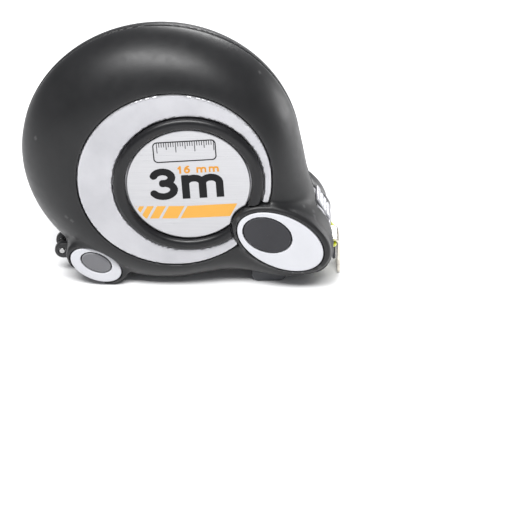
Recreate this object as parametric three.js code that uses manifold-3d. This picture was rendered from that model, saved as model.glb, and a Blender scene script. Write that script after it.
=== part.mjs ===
// A pocket tape measure, 3 m by 16 mm, in a snail-shaped case with a wrist-strap lug and a belt clip.
// Millimetres, +Z up. The blade leaves the case along +X, and the labelled front side faces -Y.
// Everything is laid out about the reel axis, which runs along Y, and the whole part is stood on
// its lowest points, with the origin under the middle of its bounding box, at the end.
import * as THREE from "three";
import { mergeVertices } from "three/addons/utils/BufferGeometryUtils.js";
import Module from "manifold-3d";

const wasm = await Module();
wasm.setup();

// ---------------------------------------------------------------- driving dimensions
const GAP = 0.3; // clearance left between pieces that touch
const HALF_GAP = 0.15; // each case half stops this far from the parting plane
const REACH = 60; // longer than any cutter needs to be
const ROUND = 40; // sides of the large circles

const BODY = { x: -6.5, z: 2.9, rx: 33.1, rz: 32.7 }; // round shell of the case, in the parting plane
const FACE = { x: -3.25, z: 0.8, r: 23.0, y: 11.7 }; // silver face, and its height off the parting plane
const RING = { inner: 14.8, outer: 17.6, crest: 12.9, seat: 10.7 };
const LABEL = { r: 14.5, bottom: 11.0, top: 11.8 };
const SKIN = 1.7; // rubber
const WALL = 1.6; // plastic
const CAVITY_HALF = 9.2; // half the width of the room for the reel
const PROFILE_POWER = 1.7; // 2 would be a quarter ellipse from the parting line to the face
const NOSE_HALF = 9.4; // half the width of the blunt nose front
const BELLY_HALF = 2.4; // half the width of the flat that the belly stands on
const FLANK_ANGLE = 12; // where the round shell gives way to the nose, in degrees
const BELLY_ANGLE = 284;
const NOSE = [
  [10, -27.5],
  [18, -27.0],
  [26, -26.6],
  [31.5, -25.4],
  [34.0, -22],
  [34.2, -17.4],
  [32.6, -12.6],
  [30.2, -8.2],
  [28.4, -2.8],
  [27.3, 2.7],
];
const NOSE_BOSS = { x: 21.9, z: -14.8, a: 12.8, b: 8.1, turn: -30, base: 4, top: 13.2 };
const NOSE_EYE = { x: 21.6, z: -15.1, a: 11.3, b: 7.0, turn: -30 };
const NOSE_DOT = { x: 18.5, z: -13.2, a: 6.1, b: 4.5, turn: -28 };
const TAIL_BOSS = { x: -22.4, z: -23.2, a: 7.9, b: 5.1, turn: -29, base: 2.5, top: 9.2 };
const TAIL_EYE = { x: -22.7, z: -23.7, a: 6.7, b: 4.2, turn: -29 };
const TAIL_DOT = { x: -22.6, z: -23.0, a: 3.9, b: 2.45, turn: -29 };
const INLAY_DEPTH = 1.4; // the silver plates let into the raised bosses as eyes

// The bare plastic on the front of the nose.
const SHIELD = { apex: -7.1, shoulder: -10.4, tongue: 4.8, waist: -16.8, flare: -18.4, foot: -25.2, half: 9.2, back: 24 };
const MOUTH = { top: -19.3, bottom: -23.5, half: 8.8, back: 2 };
const COIL = { inner: 14.6, outer: 19.4, half: 8.0 };
const BLADE = { half: 8.0, sag: 1.5, z: -21.8, thickness: 0.3, back: -12, front: 35.5, corner: 1.6 };
const DRUM = { inner: 12.9, outer: 14.3, half: 8.4, flange: 1.0 };
const SPINDLE = { r: 3.0, half: 9.9, slot: 0.9 };
const HOOK = { width: 6.4, tipHalf: 4.0, sheet: 0.7, back: 27.6, front: 36.4, tip: -29.4, play: 0.8 };
const RIVETS = [29.6, 33.2];
const RIVET_R = 1.0;
const BUMPER = { front: 35.3, top: -22.2, bottom: -26.2, half: 3.0 };
const FOOT = { x: 19.0, length: 8.4, half: 7.2, top: -26.6, bend: 2.2 };
const LOCK = { along: [0.48, -0.877], x: 31.6, z: -12.2, length: 6.6, half: 3.3, proud: 1.1, travel: 2.5 };
const LUG = { x: -33.0, z: -23.2, height: 4.2, cheek: 1.5, gap: 3.4, root: -27.6, end: -20.2 };
const LUG_PIN = { x: -31.2, r: 0.7 };
const CLIP = { width: 18.6, sheet: 0.75, top: 20.1, bend: -6.0, tip: -12.6, low: -3.6 };
const CLIP_LEAF = { topY: 17.1, bendY: 14.5, tipY: 18.2 }; // outer surface, off the parting plane
const CLIP_AT = { x: -9.1, z: 5.4, turn: 6 };
const CLIP_SLOT = { width: 7.7, height: 14.2, z: 2.5, holeZ: 9.9 };

// Case screws go in from the back: where, how deep the head sits, and the radius of its counterbore.
const SCREWS = {
  top_screw: { x: -5.7, z: 30.6, head: 2.8, headR: 2.35, bore: 3.0, length: 8 },
  nose_screw: { x: 23.2, z: -4.6, head: 7.4, headR: 2.3, bore: 2.7, length: 12 },
  tail_screw: { x: -23.6, z: -24.0, head: 8.3, headR: 1.9, bore: 2.35, length: 12 },
};
const CLIP_SCREW = { headR: 2.65, length: 4.2 };
const SCREW = { shank: 1.1, pilot: 1.45, headHeight: 1.5 };
const POST_WALL = 1.2; // round the counterbores, inside the case

// ---------------------------------------------------------------- looks
const finish = (color, roughness, metalness = 0) =>
  new THREE.MeshStandardMaterial({ color, roughness, metalness });
const LOOK = {
  rubber: finish(0x26272a, 0.62),
  silver: finish(0xc3c4c8, 0.38, 0.35),
  inlay: finish(0xd9dae2, 0.45, 0.2),
  dot: finish(0x3c3d42, 0.6),
  label: finish(0xcfcfd3, 0.3, 0.7),
  steel: finish(0xd0cabb, 0.22, 1.0),
  blade: finish(0xc9d02a, 0.4),
  darkPlastic: finish(0x1c1d1f, 0.5),
  spool: finish(0x8f9296, 0.5),
};

// ---------------------------------------------------------------- solids
// A closed geometry as a solid, with its faces turned outwards if they point in.
const solid = (geometry) => {
  const bare = geometry.index ? geometry.toNonIndexed() : geometry.clone();
  bare.deleteAttribute("normal");
  bare.deleteAttribute("uv");
  const merged = mergeVertices(bare, 1e-4);
  const vertProperties = merged.attributes.position.array;
  const corners = Array.from(merged.index.array);
  const made = (triVerts) =>
    new wasm.Manifold(new wasm.Mesh({ numProp: 3, vertProperties, triVerts: new Uint32Array(triVerts) }));
  const first = made(corners);
  return first.volume() > 0 ? first : made(corners.reverse());
};

const geometryOf = (made) => {
  const mesh = made.getMesh();
  const geometry = new THREE.BufferGeometry();
  geometry.setAttribute("position", new THREE.BufferAttribute(mesh.vertProperties, 3));
  geometry.setIndex(new THREE.BufferAttribute(mesh.triVerts, 1));
  const faceted = geometry.toNonIndexed();
  faceted.computeVertexNormals();
  return faceted;
};

const join = (...solids) => solids.reduce((all, one) => all.add(one));
const cut = (from, ...solids) => solids.reduce((all, one) => all.subtract(one), from);

const assembly = new THREE.Group();

const piece = (name, made, material, parent = assembly) => {
  const mesh = new THREE.Mesh(geometryOf(made), material);
  mesh.name = name;
  parent.add(mesh);
  return mesh;
};

// A closed skin through rings of points that all have the same count, with a fan to a centre at each end.
const ringed = (rings, startCentre, endCentre) => {
  const count = rings[0].length;
  const start = rings.length * count;
  const end = start + 1;
  const last = (rings.length - 1) * count;
  const index = [];
  for (let i = 0; i < count; i++) {
    const next = (i + 1) % count;
    index.push(start, next, i);
    index.push(end, last + i, last + next);
    for (let r = 0; r + 1 < rings.length; r++) {
      const [low, high] = [r * count, (r + 1) * count];
      index.push(low + i, low + next, high + next);
      index.push(low + i, high + next, high + i);
    }
  }
  const geometry = new THREE.BufferGeometry();
  const positions = [...rings.flat(2), ...startCentre, ...endCentre];
  geometry.setAttribute("position", new THREE.Float32BufferAttribute(positions, 3));
  geometry.setIndex(index);
  return solid(geometry);
};

// A shape drawn in the XZ plane, extruded from y = from to y = to.
const prism = (shape, from, to, curveSegments = 12) => {
  const [low, high] = [Math.min(from, to), Math.max(from, to)];
  const depth = high - low;
  const geometry = new THREE.ExtrudeGeometry(shape, { depth, bevelEnabled: false, curveSegments });
  return solid(geometry.rotateX(Math.PI / 2).translate(0, high, 0));
};

// A shape drawn in the YZ plane, extruded from x = from to x = to.
const bar = (shape, from, to, curveSegments = 8) => {
  const depth = to - from;
  const geometry = new THREE.ExtrudeGeometry(shape, { depth, bevelEnabled: false, curveSegments });
  const axes = new THREE.Matrix4().set(0, 0, 1, from, 1, 0, 0, 0, 0, 1, 0, 0, 0, 0, 0, 1);
  return solid(geometry.applyMatrix4(axes));
};

// A shape drawn in the XY plane, extruded from z = from to z = to.
const slab = (shape, from, to, curveSegments = 3) => {
  const depth = to - from;
  const geometry = new THREE.ExtrudeGeometry(shape, { depth, bevelEnabled: false, curveSegments });
  return solid(geometry.translate(0, 0, from));
};

const box = (x0, x1, y0, y1, z0, z1) => {
  const geometry = new THREE.BoxGeometry(x1 - x0, y1 - y0, z1 - z0);
  return solid(geometry.translate((x0 + x1) / 2, (y0 + y1) / 2, (z0 + z1) / 2));
};

// A cylinder along Y.
const rod = (r, x, z, y0, y1, segments = 24) => {
  const geometry = new THREE.CylinderGeometry(r, r, Math.abs(y1 - y0), segments);
  return solid(geometry.translate(x, (y0 + y1) / 2, z));
};

// A closed profile of [radius, y] points turned about the Y axis.
const turned = (profile, segments = ROUND) => {
  const points = profile.map(([r, y]) => new THREE.Vector2(r, y));
  return solid(new THREE.LatheGeometry([...points, points[0]], segments));
};

const polygon = (points) => new THREE.Shape(points.map(([u, v]) => new THREE.Vector2(u, v)));

const ellipse = ({ x, z, a, b, turn }, grow = 0) => {
  const rotation = THREE.MathUtils.degToRad(turn);
  return new THREE.Shape().absellipse(x, z, a + grow, b + grow, 0, 2 * Math.PI, false, rotation);
};

const roundedBox = (x0, x1, z0, z1, r) => {
  const shape = new THREE.Shape();
  shape.absarc(x1 - r, z0 + r, r, -Math.PI / 2, 0);
  shape.absarc(x1 - r, z1 - r, r, 0, Math.PI / 2);
  shape.absarc(x0 + r, z1 - r, r, Math.PI / 2, Math.PI);
  shape.absarc(x0 + r, z0 + r, r, Math.PI, 1.5 * Math.PI);
  return shape;
};

// ---------------------------------------------------------------- the shape of a case half
const OUTLINE_STEPS = 48;
const PROFILE_STEPS = 5;

const outline = (() => {
  const path = new THREE.Path();
  const [from, to] = [FLANK_ANGLE, BELLY_ANGLE].map(THREE.MathUtils.degToRad);
  path.absellipse(BODY.x, BODY.z, BODY.rx, BODY.rz, from, to, false);
  path.splineThru([...NOSE.map(([x, z]) => new THREE.Vector2(x, z)), path.getPoint(0)]);
  return path.getSpacedPoints(OUTLINE_STEPS).slice(0, OUTLINE_STEPS);
})();

// Half the width of the flat wall that the outline rises through: next to nothing on the round
// shell, a little under the belly, and more than the blade's half width at the blunt nose.
const flatHalf = ({ x, y: z }) => {
  const forward = THREE.MathUtils.smoothstep(x, 6, 24);
  const below = 1 - THREE.MathUtils.smoothstep(z, -20, -6);
  const belly = 1 - THREE.MathUtils.smoothstep(z, -30, -22);
  return 0.5 + (NOSE_HALF - 0.5) * Math.min(forward, below) + (BELLY_HALF - 0.5) * belly * (1 - forward);
};

// One half of the case outside its parting plane, on the +Y side (side 1) or the -Y side (side -1),
// shrunk inwards by inset.
const halfBody = (side, inset = 0, top = FACE.y - inset) => {
  const centre = new THREE.Vector2(FACE.x, FACE.z);
  const columns = outline.map((point) => {
    const toCentre = centre.clone().sub(point).normalize();
    const edge = point.clone().addScaledVector(toCentre, inset);
    const face = centre.clone().addScaledVector(toCentre, inset / 2 - FACE.r);
    return { edge, face, flat: Math.max(0.4, flatHalf(point) - inset) };
  });
  const place = (p, y) => [p.x, side * y, p.y];
  const rings = [columns.map(({ edge }) => place(edge, HALF_GAP))];
  for (let i = 0; i <= PROFILE_STEPS; i++) {
    const angle = (i / PROFILE_STEPS) * (Math.PI / 2);
    const out = i === PROFILE_STEPS ? 0 : Math.cos(angle) ** (2 / PROFILE_POWER);
    const up = Math.sin(angle) ** (2 / PROFILE_POWER);
    const rise = ({ edge, face, flat }) => place(face.clone().lerp(edge, out), flat + (top - flat) * up);
    rings.push(columns.map(rise));
  }
  return ringed(rings, place(centre, HALF_GAP), place(centre, top));
};

// The lowest point of the belly, which the part stands on together with its foot.
const GROUND = Math.min(...outline.map(({ y: z }) => z));

const eye = (side, at, grow, from, to) => prism(ellipse(at, grow), side * from, side * to);

const shield = (side, shrink = 0) =>
  bar(
    polygon([
      [side * HALF_GAP, SHIELD.apex - 2 * shrink],
      [side * (SHIELD.tongue - shrink), SHIELD.shoulder - shrink],
      [side * (SHIELD.tongue - shrink), SHIELD.waist - shrink],
      [side * (SHIELD.half - shrink), SHIELD.flare - shrink],
      [side * (SHIELD.half - shrink), SHIELD.foot + 2 + shrink],
      [side * (SHIELD.half - 2 - shrink), SHIELD.foot + shrink],
      [side * HALF_GAP, SHIELD.foot + shrink],
    ]),
    SHIELD.back,
    REACH,
  );

// The round window in the rubber, short of the raised nose eye.
const faceWindow = (side) =>
  cut(
    rod(FACE.r, FACE.x, FACE.z, side * 4, side * REACH, ROUND),
    eye(side, NOSE_BOSS, 0, 0, REACH),
  );

const screwBores = (side) =>
  Object.values(SCREWS).map(({ x, z, head, bore, length }) => {
    const pilot = rod(SCREW.pilot, x, z, head - length - 1, head + 1, 16);
    return side > 0 ? join(rod(bore, x, z, head, REACH), pilot) : pilot;
  });

const lugSlot = (grow) => {
  const half = LUG.gap / 2 + LUG.cheek + grow;
  const high = LUG.height / 2 + grow;
  return box(-REACH, LUG.end + grow, -half, half, LUG.z - high, LUG.z + high);
};

const footSeat = (grow) => {
  const [long, wide] = [FOOT.length / 2 + grow, FOOT.half + grow];
  return box(FOOT.x - long, FOOT.x + long, -wide, wide, -REACH, FOOT.top + grow);
};

const onSide = (side, half) => (side > 0 ? [0, half] : [-half, 0]);

// ---------------------------------------------------------------- case pieces
function rubberSkin(side) {
  const outside = join(
    halfBody(side),
    eye(side, NOSE_BOSS, 0, NOSE_BOSS.base, NOSE_BOSS.top),
    eye(side, TAIL_BOSS, 0, TAIL_BOSS.base, TAIL_BOSS.top),
  );
  return cut(
    outside,
    halfBody(side, SKIN),
    faceWindow(side),
    eye(side, NOSE_EYE, GAP / 2, NOSE_BOSS.top - INLAY_DEPTH, REACH),
    eye(side, TAIL_EYE, GAP / 2, TAIL_BOSS.top - INLAY_DEPTH, REACH),
    shield(side),
    lockOpening(side),
    lugSlot(GAP),
    footSeat(GAP),
    ...screwBores(side),
  );
}

function caseHalf(side) {
  const inset = SKIN + GAP;
  const plinth = cut(
    rod(FACE.r - GAP, FACE.x, FACE.z, side * (FACE.y - 3.4), side * FACE.y, ROUND),
    eye(side, NOSE_BOSS, GAP, 0, REACH),
  );
  const nose = shield(side, GAP).intersect(halfBody(side, GAP / 2));
  const posts = Object.values(SCREWS).map(({ x, z, bore }) =>
    rod(bore + POST_WALL, x, z, 0, side * REACH, 20),
  );
  return cut(
    join(halfBody(side, inset), plinth, nose),
    rod(RING.outer + GAP, 0, 0, side * RING.seat, side * REACH, ROUND),
    cut(halfBody(side, inset + WALL, CAVITY_HALF), ...posts),
    box(MOUTH.back, REACH, ...onSide(side, MOUTH.half), MOUTH.bottom, MOUTH.top),
    lockOpening(side),
    lugSlot(GAP),
    footSeat(GAP),
    rod(SPINDLE.r + GAP, 0, 0, side * (CAVITY_HALF - 1), side * (SPINDLE.half + GAP)),
    ...(side > 0 ? [clipScrewHole()] : []),
    ...screwBores(side),
  );
}

function clipScrewHole() {
  return rod(SCREW.pilot, CLIP_AT.x, CLIP_AT.z, 0, REACH, 16);
}

function bezelRing(side) {
  const middle = (RING.inner + RING.outer) / 2;
  const half = (RING.outer - RING.inner) / 2;
  const shoulder = LABEL.top;
  const profile = [
    [RING.inner, RING.seat + GAP],
    [RING.outer, RING.seat + GAP],
    [RING.outer, shoulder],
  ];
  const steps = 4;
  for (let i = 1; i < steps; i++) {
    const angle = (i / steps) * Math.PI;
    profile.push([middle + half * Math.cos(angle), shoulder + (RING.crest - shoulder) * Math.sin(angle)]);
  }
  profile.push([RING.inner, shoulder]);
  const ring = turned(profile.map(([r, y]) => [r, side * y]));
  return shortOfNoseEye(side, side > 0 ? cut(ring, clipFootprint()) : ring);
}

function labelDisc(side) {
  const disc = shortOfNoseEye(side, rod(LABEL.r, 0, 0, side * LABEL.bottom, side * LABEL.top, ROUND));
  return side > 0 ? cut(disc, clipScrewHole()) : disc;
}

function shortOfNoseEye(side, made) {
  return cut(made, eye(side, NOSE_BOSS, GAP, 0, REACH));
}

// The room that the clip's inner leaf takes where it crosses the bezel ring.
function clipFootprint() {
  const half = CLIP.width / 2 + GAP;
  const room = box(-half, half, LABEL.top, REACH, CLIP.low - CLIP_AT.z - GAP, REACH);
  return room.rotate([0, -CLIP_AT.turn, 0]).translate([CLIP_AT.x, 0, CLIP_AT.z]);
}

// A plate let into a boss: its top lies just under the boss's rim.
function plate(side, at, boss) {
  return eye(side, at, -GAP / 2, boss.top - INLAY_DEPTH + GAP, boss.top - 0.1);
}

const dotHole = (side, at) => eye(side, at, GAP / 2, 0, REACH);

// ---------------------------------------------------------------- screws
// A pan-headed screw along -Y, with its head's underside at y = 0 and a cross recess.
function screw({ headR, length }) {
  const head = turned(
    [
      [0, 0],
      [headR, 0],
      [headR, 0.55 * SCREW.headHeight],
      [0.72 * headR, 0.92 * SCREW.headHeight],
      [0, SCREW.headHeight],
    ],
    18,
  );
  const shank = turned(
    [
      [0, 0.1],
      [SCREW.shank, 0.1],
      [SCREW.shank, 1.2 - length],
      [0.3, -length],
      [0, -length],
    ],
    8,
  );
  const [arm, half, floor] = [0.62 * headR, 0.14 * headR, SCREW.headHeight - 0.8];
  const recess = join(box(-arm, arm, floor, REACH, -half, half), box(-half, half, floor, REACH, -arm, arm));
  return cut(join(head, shank), recess);
}

// ---------------------------------------------------------------- the reel and its spring
function spindle() {
  const { r, half, slot } = SPINDLE;
  return cut(rod(r, 0, 0, -half, half), box(-slot / 2, slot / 2, 1.5 - half, half + 1, -r - 1, 0.6));
}

function drum() {
  const { inner, outer, half, flange } = DRUM;
  return turned([
    [SPINDLE.r + GAP, -half],
    [outer, -half],
    [outer, half - flange - GAP],
    [inner, half - flange - GAP],
    [inner, flange - half],
    [SPINDLE.r + GAP, flange - half],
  ]);
}

function drumCover() {
  const { outer, half, flange } = DRUM;
  return turned([
    [SPINDLE.r + GAP, half - flange],
    [outer, half - flange],
    [outer, half],
    [SPINDLE.r + GAP, half],
  ]);
}

function bladeCoil() {
  const { inner, outer, half } = COIL;
  return turned([
    [inner, -half],
    [outer, -half],
    [outer, half],
    [inner, half],
  ]);
}

// A flat spring wound in a spiral from the spindle to the drum.
function powerSpring() {
  const [turns, stepsPerTurn, strip, half] = [4, 14, 0.4, 6.6];
  const steps = turns * stepsPerTurn;
  const [start, end] = [SPINDLE.r + 0.6, DRUM.inner - 0.6];
  const at = (i, offset) => {
    const angle = (i / stepsPerTurn) * 2 * Math.PI;
    const r = start + ((end - start) * i) / steps + offset;
    return [r * Math.cos(angle), r * Math.sin(angle)];
  };
  const places = Array.from({ length: steps + 1 }, (_, i) => i);
  const outer = places.map((i) => at(i, strip / 2));
  const inner = places.map((i) => at(i, -strip / 2)).reverse();
  return prism(polygon([...outer, ...inner]), -half, half, 1);
}

// ---------------------------------------------------------------- the blade and its hook
// The blade's cupped section, as points across its width, lifted by rise.
const cupped = (half, rise, steps = 8) =>
  Array.from({ length: steps + 1 }, (_, i) => {
    const y = -half + (2 * half * i) / steps;
    return [y, BLADE.z + rise + BLADE.sag * (y / BLADE.half) ** 2];
  });

const cuppedStrip = (half, low, thickness, from, to) =>
  bar(polygon([...cupped(half, low), ...cupped(half, low + thickness).reverse()]), from, to, 1);

function blade() {
  const { half, corner, front, z } = BLADE;
  const strip = cuppedStrip(half, 0, BLADE.thickness, BLADE.back, front);
  const trims = [-1, 1].map((s) =>
    slab(
      polygon([
        [front - corner, s * (half + 0.01)],
        [front + 1, s * (half + 0.01)],
        [front + 1, s * (half - corner - 1)],
      ]),
      z - 1,
      z + 4,
      1,
    ),
  );
  return cut(strip, ...trims);
}

function endHook() {
  const low = BLADE.thickness + GAP;
  const { width, tipHalf, sheet, front, tip, play } = HOOK;
  const half = width / 2;
  const plate = cuppedStrip(half, low, sheet, HOOK.back, front);
  const top = BLADE.z + low + sheet + 0.2;
  const tab = bar(
    polygon([
      [-half, top],
      [-half, top - 5],
      [-tipHalf, tip],
      [tipHalf, tip],
      [half, top - 5],
      [half, top],
    ]),
    front - sheet,
    front,
    1,
  );
  const hole = RIVET_R + GAP;
  const slots = RIVETS.map((x) =>
    slab(roundedBox(x - hole - play, x + hole, -hole, hole, hole - 0.01), -REACH, REACH),
  );
  return cut(join(plate, tab), ...slots);
}

function rivet() {
  const low = BLADE.z + BLADE.thickness + 0.05;
  const top = low + HOOK.sheet + 2 * GAP;
  const profile = [
    [0, low],
    [RIVET_R, low],
    [RIVET_R, top],
    [1.45 * RIVET_R, top],
    [1.3 * RIVET_R, top + 0.3],
    [0, top + 0.45],
  ];
  return turned(profile, 14).rotate([90, 0, 0]);
}

function bumper() {
  const { half, top, bottom, front } = BUMPER;
  return bar(roundedBox(-half, half, bottom, top, 1.0), noseFront() + GAP, front, 3);
}

function noseFront() {
  return Math.max(...outline.map(({ x }) => x));
}

function standFoot() {
  const { x, length, bend, top } = FOOT;
  const [x0, x1] = [x - length / 2, x + length / 2];
  const side = new THREE.Shape();
  side.moveTo(x0, top);
  side.lineTo(x0, GROUND + bend);
  side.quadraticCurveTo(x0 + 0.3, GROUND, x0 + bend, GROUND);
  side.lineTo(x1 - bend, GROUND);
  side.quadraticCurveTo(x1 - 0.3, GROUND, x1, GROUND + bend);
  side.lineTo(x1, top);
  return prism(side, -FOOT.half, FOOT.half, 5);
}

// ---------------------------------------------------------------- the lock
// A point given along the slider's track and out from it, in the XZ plane.
const onTrack = ([s, out]) => {
  const [dx, dz] = LOCK.along;
  return [LOCK.x + s * dx - out * dz, LOCK.z + s * dz + out * dx];
};

const trackPrism = (points, from, to) => prism(polygon(points.map(onTrack)), from, to, 1);

const STEM = { half: 1.5, wide: 1.6, depth: 3.4 };

function lockSlider() {
  const half = LOCK.length / 2;
  const { proud } = LOCK;
  const ribs = [0, 1, 2].map((i) => half - 0.3 - 1.7 * i);
  const ribbed = ribs.flatMap((s) => [
    [s, proud],
    [s - 0.8, proud],
    [s - 1.0, proud - 0.4],
    [s - 1.5, proud - 0.4],
  ]);
  const outlinePoints = [[-half, GAP], [half, GAP], ...ribbed, [-half + 0.9, proud - 0.1]];
  const cap = trackPrism(outlinePoints, -LOCK.half, LOCK.half);
  const { half: stem, wide, depth } = STEM;
  return join(cap, trackPrism([[-stem, 0.5], [stem, 0.5], [stem, -depth], [-stem, -depth]], -wide, wide));
}

// The wedge under the stem that jams the blade when the slider is pushed down.
function lockWedge() {
  const top = -STEM.depth - GAP;
  return trackPrism([[-2.2, top], [1.8, top], [2.6, -4.8], [1.2, -5.6], [-2.2, -5.2]], -5, 5);
}

function lockOpening(side) {
  const { travel, length, half } = LOCK;
  const stem = STEM.half + 0.6;
  const [back, ahead] = [-length / 2 - 0.4, length / 2 + travel + 0.4];
  const slot = [[-stem, 4], [stem + travel, 4], [stem + travel, -9], [-stem, -9]];
  const well = [[-3, -2.6], [7.6, -2.6], [7.6, -9], [-3, -9]];
  const recess = [[back, 0], [ahead, 0], [ahead + 2, 4], [back, 4]];
  return join(
    trackPrism(slot, ...onSide(side, STEM.wide + GAP)),
    trackPrism(well, ...onSide(side, 5.4)),
    trackPrism(recess, ...onSide(side, half + GAP)),
  );
}

// ---------------------------------------------------------------- strap lug and belt clip
// The lug's base is caught between the case halves, with the tail screw through it.
function strapLug() {
  const { x, z, height, cheek, gap, root, end } = LUG;
  const { x: screwX, z: screwZ } = SCREWS.tail_screw;
  const [half, wide, nose] = [height / 2, gap / 2 + cheek, 2.4];
  const side = new THREE.Shape();
  side.moveTo(end, z - half);
  side.lineTo(end, z + half);
  side.lineTo(x + nose, z + half);
  side.quadraticCurveTo(x, z + half, x, z);
  side.quadraticCurveTo(x, z - half, x + nose, z - half);
  return cut(
    prism(side, -wide, wide, 5),
    box(-REACH, root, -gap / 2, gap / 2, z - REACH, z + REACH),
    rod(LUG_PIN.r + GAP / 2, LUG_PIN.x, z, -REACH, REACH, 12),
    rod(SCREW.shank + GAP, screwX, screwZ, -REACH, REACH, 16),
  );
}

// The clip is one strip of spring steel. Its inner leaf is screwed flat to the back, and stops just
// short of the fold, so that the fold and the outer leaf can turn together about the fold's middle.
const CLIP_INSIDE = LABEL.top + GAP;
const FOLD_R = (CLIP_LEAF.topY - CLIP_INSIDE) / 2;
const FOLD = { y: CLIP_INSIDE + FOLD_R, z: CLIP.top - FOLD_R };
const FLEX_GAP = 0.6;

const rectangle = (x0, x1, z0, z1) => polygon([[x0, z0], [x1, z0], [x1, z1], [x0, z1]]);

function clipBase() {
  const { width, sheet, low } = CLIP;
  const leaf = prism(
    rectangle(-width / 2, width / 2, low - CLIP_AT.z, FOLD.z - FLEX_GAP - CLIP_AT.z),
    CLIP_INSIDE,
    CLIP_INSIDE + sheet,
    1,
  );
  return cut(leaf, rod(SCREW.shank + GAP, 0, 0, 0, REACH, 16));
}

function clipLeaf() {
  const { width, sheet, bend, tip } = CLIP;
  const { topY, bendY, tipY } = CLIP_LEAF;
  const steps = 8;
  const arc = (r, from, to) =>
    Array.from({ length: steps + 1 }, (_, i) => {
      const angle = from + ((to - from) * i) / steps;
      return [FOLD.y + r * Math.cos(angle), FOLD.z + r * Math.sin(angle)];
    });
  const section = [
    ...arc(FOLD_R, Math.PI, 0),
    [topY, FOLD.z - 1],
    [bendY, bend],
    [tipY, tip],
    [tipY - sheet, tip],
    [bendY - sheet, bend],
    [topY - sheet, FOLD.z - 1],
    ...arc(FOLD_R - sheet, 0, Math.PI),
  ];
  const strip = bar(polygon(section.map(([y, z]) => [y, z - CLIP_AT.z])), -width / 2, width / 2, 1);
  const { width: slot, height, z, holeZ } = CLIP_SLOT;
  const outer = FOLD.y;
  const window = prism(
    roundedBox(-slot / 2, slot / 2, z - height / 2, z + height / 2, slot / 2 - 0.05),
    outer,
    REACH,
    6,
  );
  const holes = [-1, 1].map((s) => rod(0.8, s * 6.7, holeZ, outer, REACH, 12));
  const end = tip - CLIP_AT.z;
  const ends = [-1, 1].map((s) =>
    prism(
      polygon([
        [s * (width / 2 + 1), end + 3.6],
        [s * (width / 2 - 1.6), end + 1.7],
        [s * (width / 2 - 4.5), end + 0.5],
        [s * 2, end - 0.2],
        [s * 2, end - 3],
        [s * (width / 2 + 1), end - 3],
      ]),
      outer,
      REACH,
      1,
    ),
  );
  return cut(strip, window, ...holes, ...ends);
}

// ---------------------------------------------------------------- assembly
for (const [name, side] of [["front", -1], ["back", 1]]) {
  piece(`${name}_case`, caseHalf(side), LOOK.silver);
  piece(`${name}_rubber_skin`, rubberSkin(side), LOOK.rubber);
  piece(`${name}_bezel_ring`, bezelRing(side), LOOK.rubber);
  piece(`${name}_label_disc`, labelDisc(side), LOOK.label);
  piece(`${name}_nose_inlay`, cut(plate(side, NOSE_EYE, NOSE_BOSS), dotHole(side, NOSE_DOT)), LOOK.inlay);
  piece(`${name}_nose_dot`, plate(side, NOSE_DOT, NOSE_BOSS), LOOK.dot);
}
piece("front_tail_inlay", cut(plate(-1, TAIL_EYE, TAIL_BOSS), dotHole(-1, TAIL_DOT)), LOOK.inlay);
piece("front_tail_dot", plate(-1, TAIL_DOT, TAIL_BOSS), LOOK.dot);
const { bore, x: tailX, z: tailZ } = SCREWS.tail_screw;
piece("back_tail_inlay", cut(plate(1, TAIL_EYE, TAIL_BOSS), rod(bore, tailX, tailZ, 0, REACH)), LOOK.inlay);

for (const [name, at] of Object.entries(SCREWS)) {
  piece(name, screw(at), LOOK.steel).position.set(at.x, at.head + 0.1, at.z);
}

piece("spindle", spindle(), LOOK.steel);
piece("power_spring", powerSpring(), LOOK.steel);
piece("reel_drum", drum(), LOOK.spool);
piece("reel_cover", drumCover(), LOOK.spool);
piece("blade_coil", bladeCoil(), LOOK.blade);
piece("blade", blade(), LOOK.blade);
piece("end_hook", endHook(), LOOK.steel);
RIVETS.forEach((x, i) => {
  piece(`hook_rivet_${i + 1}`, rivet(), LOOK.steel).position.x = x;
});
piece("hook_bumper", bumper(), LOOK.darkPlastic);
piece("stand_foot", standFoot(), LOOK.rubber);
piece("lock_slider", lockSlider(), LOOK.silver);
piece("lock_wedge", lockWedge(), LOOK.darkPlastic);
piece("strap_lug", strapLug(), LOOK.darkPlastic);
const lugHalf = LUG.gap / 2 + LUG.cheek;
piece("strap_pin", rod(LUG_PIN.r, LUG_PIN.x, LUG.z, -lugHalf, lugHalf, 12), LOOK.steel);

const clip = new THREE.Group();
clip.position.set(CLIP_AT.x, 0, CLIP_AT.z);
clip.rotation.y = THREE.MathUtils.degToRad(-CLIP_AT.turn);
assembly.add(clip);
piece("belt_clip_base", clipBase(), LOOK.steel, clip);
piece("belt_clip_leaf", clipLeaf(), LOOK.steel, clip);
piece("clip_screw", screw(CLIP_SCREW), LOOK.steel, clip).position.y = CLIP_INSIDE + CLIP.sheet + 0.1;

const bounds = new THREE.Box3().setFromObject(assembly);
const middle = bounds.getCenter(new THREE.Vector3());
assembly.position.set(-middle.x, -middle.y, -bounds.min.z);

const tapeMeasure = new THREE.Group();
tapeMeasure.name = "tape_measure";
tapeMeasure.add(assembly);

export default tapeMeasure;
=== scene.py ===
"""Looks for a pocket tape measure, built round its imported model.

Shapes are laid out in millimetres about the reel axis, with the labelled front towards -Y, and are
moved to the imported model's frame, in metres, as each piece is made. A moulded or machined shape is
written as a field that is negative inside, and its surface is the field's zero level.
"""

import math

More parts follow.
